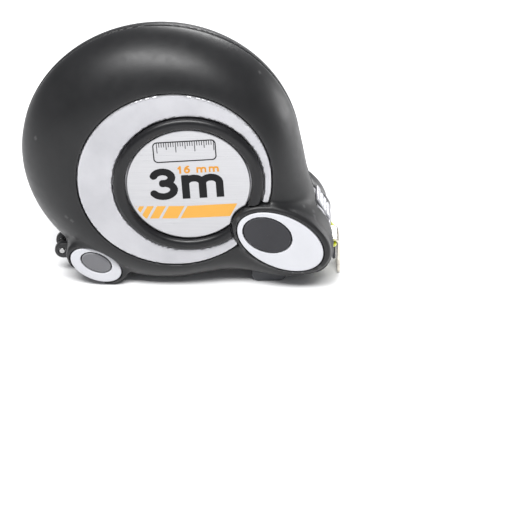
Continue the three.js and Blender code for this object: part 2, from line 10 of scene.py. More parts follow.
import bpy
import numpy as np
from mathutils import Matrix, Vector


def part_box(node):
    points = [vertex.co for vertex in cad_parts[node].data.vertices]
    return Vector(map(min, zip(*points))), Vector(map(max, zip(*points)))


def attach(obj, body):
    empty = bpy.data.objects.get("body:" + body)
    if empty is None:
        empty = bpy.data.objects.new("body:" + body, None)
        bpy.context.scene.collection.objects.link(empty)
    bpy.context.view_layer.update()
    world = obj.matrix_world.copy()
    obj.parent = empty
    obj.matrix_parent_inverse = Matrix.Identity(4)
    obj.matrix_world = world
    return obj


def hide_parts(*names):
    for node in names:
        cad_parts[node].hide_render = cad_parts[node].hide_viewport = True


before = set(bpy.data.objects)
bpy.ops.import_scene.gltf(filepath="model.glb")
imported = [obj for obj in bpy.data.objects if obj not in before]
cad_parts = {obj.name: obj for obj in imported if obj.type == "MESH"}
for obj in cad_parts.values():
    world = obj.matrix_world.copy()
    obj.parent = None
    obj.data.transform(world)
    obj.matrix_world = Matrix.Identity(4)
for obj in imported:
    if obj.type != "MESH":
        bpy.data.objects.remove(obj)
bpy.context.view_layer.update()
add_to_scene = bpy.context.scene.collection.objects.link

MM = 0.001
REEL_AXIS = sum(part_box("spindle"), Vector()) / 2

# ---- driving dimensions, in mm
GAP = 0.3
HALF_GAP = 0.15
BODY = {"x": -6.5, "z": 2.9, "rx": 33.1, "rz": 32.7}
FACE = {"x": -3.25, "z": 0.8, "r": 23.0, "y": 11.7}
RING = {"inner": 14.8, "outer": 17.6, "crest": 12.9, "seat": 10.7}
LABEL = {"r": 14.5, "bottom": 11.0, "top": 11.8}
SKIN = 1.7
WALL = 1.6
CAVITY_HALF = 9.2
PROFILE_POWER = 1.7
PLINTH = 3.4  # the depth of the silver disc behind the rubber's window
WINDOW_FLOOR = 4
# the spans of x and z over which the flat wall round the case's edge widens
FLAT_FORWARD, FLAT_BELOW, FLAT_BELLY = (6, 24), (-20, -6), (-30, -22)
NOSE_HALF = 9.4
BELLY_HALF = 2.4
FLANK_ANGLE = 12
BELLY_ANGLE = 284
NOSE = [
    (10, -27.5), (18, -27.0), (26, -26.6), (31.5, -25.4), (34.0, -22),
    (34.2, -17.4), (32.6, -12.6), (30.2, -8.2), (28.4, -2.8), (27.3, 2.7),
]
NOSE_BOSS = {"x": 21.9, "z": -14.8, "a": 12.8, "b": 8.1, "turn": -30, "base": 4, "top": 13.2}
NOSE_EYE = {"x": 21.6, "z": -15.1, "a": 11.3, "b": 7.0, "turn": -30}
NOSE_DOT = {"x": 18.5, "z": -13.2, "a": 6.1, "b": 4.5, "turn": -28}
TAIL_BOSS = {"x": -22.4, "z": -23.2, "a": 7.9, "b": 5.1, "turn": -29, "base": 2.5, "top": 9.2}
TAIL_EYE = {"x": -22.7, "z": -23.7, "a": 6.7, "b": 4.2, "turn": -29}
TAIL_DOT = {"x": -22.6, "z": -23.0, "a": 3.9, "b": 2.45, "turn": -29}
INLAY_DEPTH = 1.4
SHIELD_TONGUE = [(0, -7.1), (4.8, -10.4), (4.8, -20.0)]
SHIELD_PLATE = [(0, -15.05), (9.2, -18.4), (9.2, -23.2), (7.2, -25.2)]
SHIELD_BACK = 24
MOUTH = {"top": -19.3, "bottom": -23.5, "half": 8.8, "back": 2}
SCREWS = {
    "top_screw": {"x": -5.7, "z": 30.6, "head": 2.8, "headR": 2.35, "bore": 3.0, "length": 8},
    "nose_screw": {"x": 23.2, "z": -4.6, "head": 7.4, "headR": 2.3, "bore": 2.7, "length": 12},
    "tail_screw": {"x": -23.6, "z": -24.0, "head": 8.3, "headR": 1.9, "bore": 2.35, "length": 12},
}
CLIP_SCREW = {"headR": 2.65, "length": 4.2}
SCREW = {
    "shank": 1.1, "pilot": 1.45, "headHeight": 1.5,
    "thread": 0.14, "pitch": 0.8, "seat": 0.1,
}
CROSS = {"arm": 0.5, "half": 0.1, "flare": 0.12, "depth": 1.0}  # all but the depth are parts of the head
POST_WALL = 1.2
LOCK = {
    "along": (0.48, -0.877), "x": 31.6, "z": -12.2,
    "length": 6.6, "half": 3.3, "proud": 1.1, "travel": 2.5,
}
STEM = {"half": 1.5, "wide": 1.6, "depth": 3.4}
RIBS = {"depth": 0.5, "pitch": 1.5, "first": 0.9}
WELL = {"start": -3, "end": 7.6, "roof": -2.6, "floor": -9, "half": 5.4}
LUG = {"x": -33.0, "z": -23.2, "height": 4.2, "cheek": 1.5, "gap": 3.4, "root": -27.6, "end": -20.2}
LUG_PIN = {"x": -31.2, "r": 0.7}
FOOT = {"x": 19.0, "length": 8.4, "half": 7.2, "top": -26.6}
BLADE = {
    "half": 8.0, "sag": 1.5, "z": -21.8, "thickness": 0.3,
    "back": -12, "front": 35.5, "corner": 2.2, "lean": 0.62,
}
HOOK = {"width": 6.4, "tipHalf": 4.0, "sheet": 0.7, "back": 27.6, "front": 36.4, "tip": -29.4, "play": 0.8}
RIVETS = (29.6, 33.2)
RIVET_R = 1.0
RIVET_HEAD = {"r": 1.45, "height": 0.45, "crown": 0.16}
BUMPER = {"front": 35.3, "top": -22.2, "bottom": -26.2, "half": 3.0}
CLIP = {"width": 18.6, "sheet": 0.75, "top": 20.1, "bend": -6.0, "tip": -12.6, "low": -3.6}
CLIP_LEAF = {"topY": 17.1, "bendY": 14.5, "tipY": 18.2}
CLIP_AT = {"x": -9.1, "z": 5.4, "turn": 6}
CLIP_SLOT = {"width": 7.7, "height": 14.2, "z": 2.5, "holeZ": 9.9}
CLIP_INSIDE = LABEL["top"] + GAP
FOLD_R = (CLIP_LEAF["topY"] - CLIP_INSIDE) / 2
FOLD = {"y": CLIP_INSIDE + FOLD_R, "z": CLIP["top"] - FOLD_R}
FLEX_GAP = 0.6
FAR = 80.0


# ---- fields, in mm
def meet(*fields, r=0.0):
    """The overlap of solids, with the edges where they meet rounded to radius r."""
    grown = [f + r for f in fields]
    outside = np.sqrt(sum(np.maximum(g, 0) ** 2 for g in grown))
    inside = np.minimum(np.maximum.reduce(np.broadcast_arrays(*grown)), 0)
    return outside + inside - r


def cut(solid, *tools, r=0.0):
    return meet(solid, *[-tool for tool in tools], r=r)


def weld(*fields, r=0.0):
    """The union of solids, with a fillet of radius r where they meet."""
    return -meet(*[-f for f in fields], r=r)


def between(value, low, high):
    return np.abs(value - (low + high) / 2) - (high - low) / 2


def cuboid(p, low, high, r=0.0):
    return meet(*[between(v, a, b) for v, a, b in zip(p, low, high)], r=r)


def circle(x, z, cx, cz, radius):
    return np.hypot(x - cx, z - cz) - radius


def rotated(u, v, turn):
    c, s = math.cos(turn), math.sin(turn)
    return u * c - v * s, u * s + v * c


def ellipse(x, z, at, grow=0.0):
    a, b = at["a"] + grow, at["b"] + grow
    along, across = rotated(x - at["x"], z - at["z"], -math.radians(at["turn"]))
    u, v = along / a, across / b
    near = np.hypot(u, v)
    return near * (near - 1) / np.maximum(np.hypot(u / a, v / b), 1e-6)


def convex(u, v, corners):
    """A convex outline, given by its corners in clockwise order."""
    sides = []
    for (u0, v0), (u1, v1) in zip(corners, corners[1:] + corners[:1]):
        length = math.hypot(u1 - u0, v1 - v0)
        sides.append(((u - u0) * (v0 - v1) + (v - v0) * (u1 - u0)) / length)
    return np.maximum.reduce(np.broadcast_arrays(*sides))


def smoothstep(value, low, high):
    t = np.clip((value - low) / (high - low), 0, 1)
    return t * t * (3 - 2 * t)


def spline(points, steps=24):
    """A smooth curve through the points."""
    curve = []
    last = len(points) - 1
    for i in range(last):
        p0, p1, p2, p3 = (np.array(points[k], float) for k in (max(i - 1, 0), i, i + 1, min(i + 2, last)))
        leave, arrive = (p2 - p0) / 2, (p3 - p1) / 2
        for t in np.arange(steps) / steps:
            cubic = (2 * p1 - 2 * p2 + leave + arrive) * t**3
            curve.append(cubic + (3 * p2 - 3 * p1 - 2 * leave - arrive) * t**2 + leave * t + p1)
    return np.array(curve)


def case_outline():
    """The case's outline as angle, distance from the face's centre, and half width of its flat wall."""
    turn = np.radians(np.linspace(FLANK_ANGLE, BELLY_ANGLE, 400))
    arc = np.stack([BODY["x"] + BODY["rx"] * np.cos(turn), BODY["z"] + BODY["rz"] * np.sin(turn)], 1)
    points = np.concatenate([arc, spline([tuple(arc[-1]), *NOSE, tuple(arc[0])])])
    x, z = points.T
    forward = smoothstep(x, *FLAT_FORWARD)
    below = 1 - smoothstep(z, *FLAT_BELOW)
    belly = 1 - smoothstep(z, *FLAT_BELLY)
    flat = 0.5 + (NOSE_HALF - 0.5) * np.minimum(forward, below) + (BELLY_HALF - 0.5) * belly * (1 - forward)
    angle = np.arctan2(z - FACE["z"], x - FACE["x"])
    order = np.argsort(angle)
    return angle[order], np.hypot(x - FACE["x"], z - FACE["z"])[order], flat[order]


OUTLINE = case_outline()
GROUND = min(FACE["z"] + OUTLINE[1] * np.sin(OUTLINE[0]))


def half_level(x, y, z, inset, top):
    """Zero on one half of the case's rounded outside, shrunk by inset."""
    angle = np.arctan2(z - FACE["z"], x - FACE["x"])
    edge = np.interp(angle, OUTLINE[0], OUTLINE[1], period=2 * math.pi) - inset
    flat = np.maximum(np.interp(angle, OUTLINE[0], OUTLINE[2], period=2 * math.pi) - inset, 0.4)
    face = FACE["r"] - inset / 2
    out = np.maximum((np.hypot(x - FACE["x"], z - FACE["z"]) - face) / (edge - face), 0)
    up = np.maximum((y - flat) / (top - flat), 0)
    return (out**PROFILE_POWER + up**PROFILE_POWER) ** (1 / PROFILE_POWER) - 1


def half_body(x, y, z, inset=0.0, top=None):
    top = FACE["y"] - inset if top is None else top
    level = half_level(x, y, z, inset, top)
    step = 0.02
    slopes = [
        half_level(x + step, y, z, inset, top) - level,
        half_level(x, y + step, z, inset, top) - level,
        half_level(x, y, z + step, inset, top) - level,
    ]
    slope = np.sqrt(sum(s * s for s in slopes)) / step
    return level / np.maximum(slope, 0.03)


def boss(x, y, z, at, r):
    return meet(ellipse(x, z, at), y - at["top"], at["base"] - y, r=r)


def shield(x, y, z, shrink=0.0):
    """The bare plastic of the nose front: a tongue for the lock above a plate round the mouth."""
    outlines = []
    for half in (SHIELD_TONGUE, SHIELD_PLATE):
        other_half = [(-u, v) for u, v in reversed(half[1:])]
        outlines.append(convex(y, z, half + other_half) + shrink)
    return meet(np.minimum(*outlines), SHIELD_BACK - x)


def on_track(x, z):
    dx, dz = LOCK["along"]
    u, v = x - LOCK["x"], z - LOCK["z"]
    return u * dx + v * dz, v * dx - u * dz


def lock_opening(x, y, z):
    s, out = on_track(x, z)
    half, stem = LOCK["length"] / 2, STEM["half"] + 0.6
    through = between(out, WELL["floor"], 4)
    slot = meet(between(s, -stem, stem + LOCK["travel"]), through, np.abs(y) - STEM["wide"] - GAP)
    hollow = between(out, WELL["floor"], WELL["roof"])
    well = meet(between(s, WELL["start"], WELL["end"]), hollow, np.abs(y) - WELL["half"])
    run_out = half + LOCK["travel"] + 0.4 + np.maximum(out, 0) / 2
    recess = meet(-half - 0.4 - s, s - run_out, -out, np.abs(y) - LOCK["half"] - GAP, r=0.4)
    return np.minimum(np.minimum(slot, well), recess)


def lug_slot(p):
    half, high = LUG["gap"] / 2 + LUG["cheek"] + GAP, LUG["height"] / 2 + GAP
    return cuboid(p, (-FAR, -half, LUG["z"] - high), (LUG["end"] + GAP, half, LUG["z"] + high))


def foot_seat(p):
    long, wide = FOOT["length"] / 2 + GAP, FOOT["half"] + GAP
    return cuboid(p, (FOOT["x"] - long, -wide, -FAR), (FOOT["x"] + long, wide, FOOT["top"] + GAP))


def screw_bores(x, y, z, side):
    """The holes for the case screws: y is measured outwards on the chosen side."""
    holes = []
    for at in SCREWS.values():
        low, high = sorted((side * (at["head"] - at["length"] - 1), side * (at["head"] + 1)))
        holes.append(meet(circle(x, z, at["x"], at["z"], SCREW["pilot"]), between(y, low, high)))
        if side > 0:
            holes.append(meet(circle(x, z, at["x"], at["z"], at["bore"]), at["head"] - y))
    return holes


def rubber_field(side):
    def field(x, y, z):
        p = (x, y, z)
        nose, tail = boss(x, y, z, NOSE_BOSS, 1.0), boss(x, y, z, TAIL_BOSS, 0.9)
        solid = weld(weld(half_body(x, y, z), nose, r=1.5), tail, r=1.3)
        face = circle(x, z, FACE["x"], FACE["z"], FACE["r"])
        window = meet(face, WINDOW_FLOOR - y, -ellipse(x, z, NOSE_BOSS))
        solid = meet(solid, HALF_GAP - y, -window, r=0.35)
        sockets = [
            meet(ellipse(x, z, eye, GAP / 2), at["top"] - INLAY_DEPTH - y)
            for eye, at in ((NOSE_EYE, NOSE_BOSS), (TAIL_EYE, TAIL_BOSS))
        ]
        solid = cut(solid, *sockets, r=0.3)
        solid = cut(solid, shield(x, y, z), lock_opening(x, y, z), lug_slot(p), foot_seat(p), r=0.3)
        solid = cut(solid, *screw_bores(x, y, z, side), r=0.3)
        return np.maximum(solid, -half_body(x, y, z, SKIN))

    return field


def case_field(side):
    def field(x, y, z):
        p = (x, y, z)
        inset = SKIN + GAP
        disc = circle(x, z, FACE["x"], FACE["z"], FACE["r"] - GAP)
        plinth = meet(disc, y - FACE["y"], FACE["y"] - PLINTH - y, -ellipse(x, z, NOSE_BOSS, GAP), r=0.3)
        nose = meet(shield(x, y, z, GAP), half_body(x, y, z, GAP / 2), r=0.3)
        solid = weld(half_body(x, y, z, inset), plinth, nose)
        solid = cut(solid, meet(circle(x, z, 0, 0, RING["outer"] + GAP), RING["seat"] - y), r=0.3)
        posts = [circle(x, z, at["x"], at["z"], at["bore"] + POST_WALL) for at in SCREWS.values()]
        hollow = np.maximum(half_body(x, y, z, inset + WALL, CAVITY_HALF), -np.minimum.reduce(posts))
        mouth = meet(MOUTH["back"] - x, between(z, MOUTH["bottom"], MOUTH["top"]), y - MOUTH["half"])
        solid = np.maximum(solid, HALF_GAP - y)
        solid = cut(solid, mouth, lock_opening(x, y, z), r=0.35)
        solid = cut(solid, hollow, lug_slot(p), foot_seat(p))
        if side > 0:
            solid = cut(solid, circle(x, z, CLIP_AT["x"], CLIP_AT["z"], SCREW["pilot"]))
        return cut(solid, *screw_bores(x, y, z, side))

    return field


def in_clip(x, z):
    """Where a point lies across and up the belt clip."""
    return rotated(x - CLIP_AT["x"], z - CLIP_AT["z"], -math.radians(CLIP_AT["turn"]))


def ring_field(side):
    middle, half = (RING["inner"] + RING["outer"]) / 2, (RING["outer"] - RING["inner"]) / 2
    rise = RING["crest"] - LABEL["top"]

    def field(x, y, z):
        across = (np.hypot(x, z) - middle) / half
        bulge = (np.hypot(across, np.maximum(y - LABEL["top"], 0) / rise) - 1) * rise
        ring = meet(bulge, RING["seat"] + GAP - y, -ellipse(x, z, NOSE_BOSS, GAP), r=0.15)
        if side > 0:
            u, v = in_clip(x, z)
            foot = CLIP["low"] - CLIP_AT["z"] - GAP
            leaf = meet(np.abs(u) - CLIP["width"] / 2 - GAP, foot - v, LABEL["top"] - y)
            ring = cut(ring, leaf, r=0.15)
        return ring

    return field


def label_field(side):
    def field(x, y, z):
        slab = between(y, LABEL["bottom"], LABEL["top"])
        disc = meet(circle(x, z, 0, 0, LABEL["r"]), slab, -ellipse(x, z, NOSE_BOSS, GAP), r=0.2)
        hole = circle(x, z, CLIP_AT["x"], CLIP_AT["z"], SCREW["pilot"])
        return cut(disc, hole, r=0.1) if side > 0 else disc

    return field


def plate_field(at, boss_at, hole=None):
    """A plate let into a boss, with its face just under the boss's rim."""

    def field(x, y, z):
        low, high = boss_at["top"] - INLAY_DEPTH + GAP, boss_at["top"] - 0.1
        plate = meet(ellipse(x, z, at, -GAP / 2), between(y, low, high), r=0.22)
        return plate if hole is None else cut(plate, hole(x, z), r=0.08)

    return field


def screw_field(head_r, length):
    """A pan-headed screw along -Y with a cross recess: its head's underside is at y = 0."""
    height, shank = SCREW["headHeight"], SCREW["shank"]

    def field(x, y, z):
        out = np.hypot(x, z)
        dome = y - height + 0.22 * height * (out / head_r) ** 2
        head = meet(out - head_r, -y, dome * 0.95, r=0.22)
        turn = np.arctan2(z, x) / (2 * math.pi)
        thread = SCREW["thread"] * np.abs(2 * ((y / SCREW["pitch"] + turn) % 1) - 1)
        point = np.maximum(1.2 - length - y, 0) * 0.6
        body = meet(out - shank + thread * (y < -0.4) + point, -length - y, y - 0.3) * 0.8
        taper = CROSS["flare"] * head_r * np.clip((y - height + CROSS["depth"]) / CROSS["depth"], 0, 1)
        arm, half = CROSS["arm"] * head_r + taper, CROSS["half"] * head_r + 0.5 * taper
        u, v = np.abs(x), np.abs(z)
        cross = np.minimum(meet(u - arm, v - half, r=0.1), meet(v - arm, u - half, r=0.1))
        return cut(np.minimum(head, body), meet(cross, height - CROSS["depth"] - y), r=0.08)

    return field


def slider_field(x, y, z):
    """The thumb slider, along its track: x runs down the track and z out of it."""
    ribs = RIBS["depth"] / 2 * (1 - np.cos(2 * math.pi * (x - RIBS["first"]) / RIBS["pitch"]))
    fade = smoothstep(x, -2.6, -1.6) * (1 - smoothstep(x, 2.6, 3.0))
    top = z - LOCK["proud"] + ribs * fade * smoothstep(-np.abs(y), -LOCK["half"], 0.4 - LOCK["half"])
    half = LOCK["length"] / 2
    pad = meet(between(x, -half, half), np.abs(y) - LOCK["half"], GAP - z, top, r=0.35)
    stem_low, stem_high = (-STEM["half"], -STEM["wide"], -STEM["depth"]), (STEM["half"], STEM["wide"], 0.5)
    stem = cuboid((x, y, z), stem_low, stem_high, 0.1)
    return np.minimum(pad, stem)


def lug_field(x, y, z):
    half, wide = LUG["height"] / 2, LUG["gap"] / 2 + LUG["cheek"]
    bar = np.hypot(np.minimum(x - LUG["x"] - half, 0), z - LUG["z"]) - half
    solid = meet(bar, x - LUG["end"], np.abs(y) - wide, r=0.45)
    slot = meet(np.abs(y) - LUG["gap"] / 2, x - LUG["root"])
    pin = circle(x, z, LUG_PIN["x"], LUG["z"], LUG_PIN["r"] + GAP / 2)
    screw = circle(x, z, SCREWS["tail_screw"]["x"], SCREWS["tail_screw"]["z"], SCREW["shank"] + GAP)
    return cut(solid, slot, pin, screw, r=0.2)


def pin_field(x, y, z):
    half = LUG["gap"] / 2 + LUG["cheek"]
    return meet(circle(x, z, LUG_PIN["x"], LUG["z"], LUG_PIN["r"]), np.abs(y) - half, r=0.15)


def foot_field(x, y, z):
    half = FOOT["length"] / 2
    sides = meet(between(x, FOOT["x"] - half, FOOT["x"] + half), GROUND - z, r=1.9)
    return meet(sides, z - FOOT["top"], np.abs(y) - FOOT["half"], r=0.5)


def bumper_field(x, y, z):
    back = max(p[0] for p in NOSE) + GAP + 0.05
    low, high = (back, -BUMPER["half"], BUMPER["bottom"]), (BUMPER["front"], BUMPER["half"], BUMPER["top"])
    return cuboid((x, y, z), low, high, 0.35)


def rivet_field(x, y, z):
    """A domed rivet along Z, with its foot at z = 0."""
    top = HOOK["sheet"] + 2 * GAP
    out = np.hypot(x, y)
    shank = meet(out - RIVET_R, between(z, 0, top + 0.1))
    dome = z - top - RIVET_HEAD["height"] + RIVET_HEAD["crown"] * (out / RIVET_R) ** 2
    head = meet(out - RIVET_HEAD["r"] * RIVET_R, top - z, dome, r=0.12)
    return np.minimum(shank, head)


# ---- meshes
STEP_SCALE = 1.0
CASE_GRID = 0.42
SMALL_GRID = 0.14
FINE_GRID = 0.12
FACE_GRID = (0.3, 0.15, 0.3)
SHEET_GRID = (0.3, 0.12, 0.3)
INLAY_GRID = (0.25, 0.12, 0.25)


def surface(field, low, high, step):
    """The field's zero level inside a box, as points and quads, one point to a cell of the grid."""
    step = np.broadcast_to(np.array(step, float) * STEP_SCALE, 3)
    axes = [np.arange(a - s, b + 2 * s, s) for a, b, s in zip(low, high, step)]
    level = np.asarray(field(*np.meshgrid(*axes, indexing="ij", sparse=True)), float)
    cells = tuple(n - 1 for n in level.shape)
    total, count = np.zeros((*cells, 3)), np.zeros(cells)
    crossings = []
    for k in range(3):
        a = np.moveaxis(level, k, 0)
        low_end, high_end = a[:-1], a[1:]
        crosses = (low_end < 0) != (high_end < 0)
        t = np.where(crosses, low_end / np.where(crosses, low_end - high_end, 1), 0)
        order = [k] + [i for i in range(3) if i != k]
        spots = np.stack(np.meshgrid(*[axes[i] for i in order], indexing="ij"), -1)[:-1]
        spots[..., 0] += t * step[k]
        spots = spots * crosses[..., None]
        back = np.argsort(order)
        moved_total = np.moveaxis(total, k, 0)
        moved_count = np.moveaxis(count, k, 0)
        _, n1, n2 = crosses.shape
        for i in (0, 1):
            for j in (0, 1):
                part = (slice(None), slice(i, n1 - 1 + i), slice(j, n2 - 1 + j))
                moved_total += spots[part][..., back]
                moved_count += crosses[part]
        crossings.append((k, crosses, low_end < 0))
    used = count > 0
    index = np.full(cells, -1)
    index[used] = np.arange(used.sum())
    points = total[used] / count[used][:, None]
    quads = []
    for k, crosses, starts_inside in crossings:
        moved = np.moveaxis(index, k, 0)
        i, j, m = np.nonzero(crosses[:, 1:-1, 1:-1])
        around = ((j, m), (j + 1, m), (j + 1, m + 1), (j, m + 1))
        corners = np.stack([moved[i, a, b] for a, b in around], 1)
        flip = starts_inside[:, 1:-1, 1:-1][i, j, m]
        if k == 1:
            flip = ~flip
        quads.append(np.where(flip[:, None], corners, corners[:, ::-1]))
    return settle(field, points, step), np.concatenate(quads)


def settle(field, points, step):
    """Moves points that lie near the surface on to it."""
    small = 0.02
    for _ in range(2):
        here = field(*points.T)
        slope = np.stack([(field(*(points + small * side).T) - here) / small for side in np.eye(3)], 1)
        steepness = np.maximum((slope**2).sum(1), 0.25)
        move = -slope * (here / steepness)[:, None]
        points = points + np.clip(move, -step / 2, step / 2)
    return points


def make_piece(name, points, faces, body, look, replaces=(), smooth_angle=50):
    """A mesh piece from points in mm about the reel axis."""
    mesh = bpy.data.meshes.new(name)
    placed = np.asarray(points, float) * MM + np.array(REEL_AXIS)
    mesh.from_pydata(placed.tolist(), [], [list(map(int, f)) for f in faces])
    mesh.validate()
    mesh.shade_smooth()
    mesh.set_sharp_from_angle(angle=math.radians(smooth_angle))
    mesh.materials.append(LOOKS[look])
    piece = bpy.data.objects.new(name, mesh)
    add_to_scene(piece)
    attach(piece, body)
    if replaces:
        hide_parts(*replaces)
    return piece


def carved(name, field, low, high, step, node, body, look, place=None):
    """A piece cut from a field, which stands for a CAD node.

    place moves its points where they belong, and says whether that turns the faces inside out.
    """
    points, faces = surface(field, low, high, step)
    if place:
        points, flips = place(points)
        faces = faces[:, ::-1] if flips else faces
    return make_piece(name, points, faces, body, look, [node])


def mirrored(side):
    """A placing that puts a piece made for the +Y side on the chosen side."""

    def place(points):
        return points * np.array([1, side, 1]), side < 0

    return place


def shifted(x, y, z):
    """A placing that moves a piece."""
    return lambda points: (points + np.array([x, y, z]), False)


# ---- materials
class Surface:
    """A procedural material: small helpers that add nodes to it."""

    def __init__(self, name, **settings):
        self.material = bpy.data.materials.new(name)
        self.material.use_nodes = True
        self.nodes = self.material.node_tree.nodes
        self.links = self.material.node_tree.links
        self.shader = self.nodes["Principled BSDF"]
        self.where = self.nodes.new("ShaderNodeTexCoord").outputs["Object"]
        for key, value in settings.items():
            self.shader.inputs[key.replace("_", " ")].default_value = value

    def stretched(self, scale, turn=(0, 0, 0)):
        mapping = self.nodes.new("ShaderNodeMapping")
        mapping.inputs["Scale"].default_value = scale
        mapping.inputs["Rotation"].default_value = turn
        self.links.new(self.where, mapping.inputs["Vector"])
        return mapping.outputs["Vector"]

    def noise(self, size_mm, detail=3.0, vector=None, distortion=0.0):
        noise = self.nodes.new("ShaderNodeTexNoise")
        noise.inputs["Scale"].default_value = 1 / (size_mm * MM)
        noise.inputs["Detail"].default_value = detail
        noise.inputs["Distortion"].default_value = distortion
        self.links.new(vector or self.where, noise.inputs["Vector"])
        return noise.outputs["Fac"]

    def spread(self, value, low, high, start=0.3, end=0.7):
        """The value's start to end range, spread from low to high."""
        node = self.nodes.new("ShaderNodeMapRange")
        for key, number in (("From Min", start), ("From Max", end), ("To Min", low), ("To Max", high)):
            node.inputs[key].default_value = number
        self.links.new(value, node.inputs["Value"])
        return node.outputs["Result"]

    def mixed(self, factor, first, second):
        node = self.nodes.new("ShaderNodeMix")
        node.data_type = "RGBA"
        self.links.new(factor, node.inputs["Factor"])
        for socket, value in ((node.inputs[6], first), (node.inputs[7], second)):
            if isinstance(value, tuple):
                socket.default_value = (*value, 1)
            else:
                self.links.new(value, socket)
        return node.outputs[2]

    def edges(self, low=0.52, high=0.6):
        """1 on outward edges and 0 elsewhere."""
        geometry = self.nodes.new("ShaderNodeNewGeometry")
        return self.spread(geometry.outputs["Pointiness"], 0, 1, low, high)

    def bump(self, height, strength, depth_mm, under=None):
        node = self.nodes.new("ShaderNodeBump")
        node.inputs["Strength"].default_value = strength
        node.inputs["Distance"].default_value = depth_mm * MM
        self.links.new(height, node.inputs["Height"])
        if under:
            self.links.new(under, node.inputs["Normal"])
        return node.outputs["Normal"]

    def use(self, **sockets):
        for key, value in sockets.items():
            self.links.new(value, self.shader.inputs[key.replace("_", " ")])
        return self.material


def moulded(name, dark, light, rough, grain_mm=0.12, grain=0.25, worn=None, **settings):
    """Moulded rubber or plastic: cloudy tone, fine grain, and rubbed edges."""
    s = Surface(name, **settings)
    cloud = s.spread(s.noise(9, 4), 0, 1)
    tone = s.mixed(cloud, dark, light)
    tone = s.mixed(s.edges(), tone, worn or tuple(1.5 * c for c in light))
    grit = s.noise(grain_mm, 2)
    waviness = s.noise(3.5, 2)
    roughness = s.spread(s.noise(1.3, 5), rough[0], rough[1])
    under = s.bump(waviness, 0.12, 0.12)
    return s.use(Base_Color=tone, Roughness=roughness, Normal=s.bump(grit, grain, 0.02, under))


def brushed(name, dark, light, rough, along=(1, 1, 1), turn=(0, 0, 0), grain=0.3, scratched=0.5, **settings):
    """Metal with fine lines along its small scale, tone that drifts, and a few scratches."""
    s = Surface(name, **settings)
    lines = s.noise(0.16, 5, s.stretched(along, turn))
    drift = s.spread(s.noise(7, 3), 0, 1)
    scratch = s.spread(s.noise(0.5, 1, s.stretched((1, 1, 0.06), (0.3, 0.5, 0.9)), 0.4), 0, 1, 0.70, 0.74)
    tone = s.mixed(s.spread(lines, 0, 1, 0.25, 0.75), dark, light)
    tone = s.mixed(s.spread(drift, 0, 0.35, 0, 1), tone, dark)
    tone = s.mixed(s.spread(scratch, 0, scratched, 0, 1), tone, tuple(min(1, 1.25 * c) for c in light))
    roughness = s.spread(lines, rough[0], rough[1])
    under = s.bump(scratch, 0.3 * scratched, 0.01)
    return s.use(Base_Color=tone, Roughness=roughness, Normal=s.bump(lines, grain, 0.012, under))


def soft_rubber():
    """Matte rubber that has picked up a little dust, with a finer sheen than plastic."""
    s = Surface("soft_black_rubber", Sheen_Weight=0.03, Sheen_Roughness=0.4, Specular_IOR_Level=0.34)
    cloud = s.spread(s.noise(11, 5), 0, 1)
    tone = s.mixed(cloud, (0.0075, 0.0077, 0.0083), (0.0120, 0.0120, 0.0128))
    dust = s.spread(s.noise(0.2, 2), 0, 1, 0.76, 0.82)
    patches = s.spread(s.noise(14, 2), 0, 1, 0.45, 0.7)
    both = s.nodes.new("ShaderNodeMath")
    both.operation = "MULTIPLY"
    s.links.new(dust, both.inputs[0])
    s.links.new(patches, both.inputs[1])
    tone = s.mixed(both.outputs[0], tone, (0.028, 0.0275, 0.026))
    tone = s.mixed(s.edges(0.53, 0.62), tone, (0.042, 0.042, 0.043))
    roughness = s.spread(s.noise(2.2, 5), 0.37, 0.45)
    under = s.bump(s.noise(5, 2), 0.1, 0.15)
    return s.use(Base_Color=tone, Roughness=roughness, Normal=s.bump(s.noise(0.1, 2), 0.22, 0.02, under))


